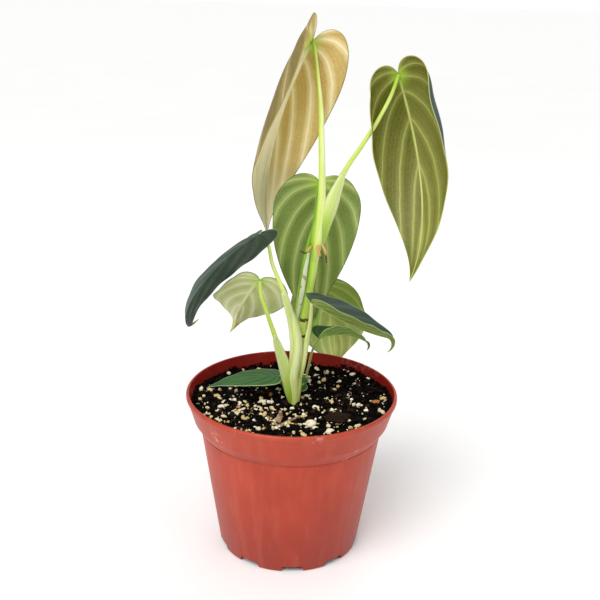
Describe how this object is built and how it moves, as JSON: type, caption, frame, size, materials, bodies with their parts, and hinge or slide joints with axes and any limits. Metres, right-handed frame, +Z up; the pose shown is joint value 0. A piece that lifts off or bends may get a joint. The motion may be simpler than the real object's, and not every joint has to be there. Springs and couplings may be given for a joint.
{
  "type": "potted philodendron",
  "caption": "Young potted philodendron: heart-shaped velvety leaves on long petioles in a terracotta-red plastic nursery pot.",
  "frame": {"origin": "centre of the pot's foot, on the surface it stands on", "axes": "+Z up along the pot's axis; -Y is the side the plant is looked at from; +X to that viewer's right"},
  "size_m": [0.1736, 0.1872, 0.3788],
  "materials": {
    "pot": "satin moulded polypropylene, terracotta red",
    "potting_mix": "damp, near-black peat and bark mix",
    "green_stem": "smooth, slightly glossy live stem, yellow-green",
    "root": "dry aerial root, orange-brown",
    "dry_husk": "papery dried sheath",
    "perlite": "chalky expanded perlite, cream",
    "bark": "rough damp bark",
    "leaf_tan": "young leaf, tan underside and golden-brown upper side",
    "leaf_olive": "matte olive underside with pale veins",
    "leaf_green": "matte sage-green underside with pale veins",
    "leaf_pale": "matte pale grey-green underside",
    "leaf_dark": "velvety dark blue-green upper side",
    "leaf_bright": "satin mid-green juvenile upper side"
  },
  "bodies": {
    "root": {"pot": "pot", "potting_mix": "potting_mix", "stem": "green_stem", "petiole_upper_left": "green_stem", "petiole_upper_right": "green_stem", "petiole_left": "green_stem", "petiole_lower_left": "green_stem", "petiole_middle": "green_stem", "petiole_right": "green_stem", "petiole_back_right": "green_stem", "petiole_small_right": "green_stem", "petiole_small_left": "green_stem", "petiole_juvenile": "green_stem", "cataphyll_strip": "dry_husk", "aerial_root_1": "root", "aerial_root_2": "root", "aerial_root_3": "root", "root_1": "root", "root_2": "root", "root_3": "root", "root_4": "root", "root_5": "root", "blade_upper_left": "leaf_tan", "blade_upper_right": "leaf_olive", "blade_middle": "leaf_green", "blade_left": "leaf_dark", "blade_lower_left": "leaf_pale", "blade_back_right": "leaf_green", "blade_right": "leaf_dark", "blade_small_right": "leaf_bright", "blade_small_left": "leaf_bright", "blade_juvenile": "leaf_bright", "dry_twig": "dry_husk", "dry_husk": "dry_husk", "perlite_1": "perlite", "perlite_2": "perlite", "perlite_3": "perlite", "perlite_4": "perlite", "bark_1": "bark", "bark_2": "bark"}
  },
  "joints": []
}
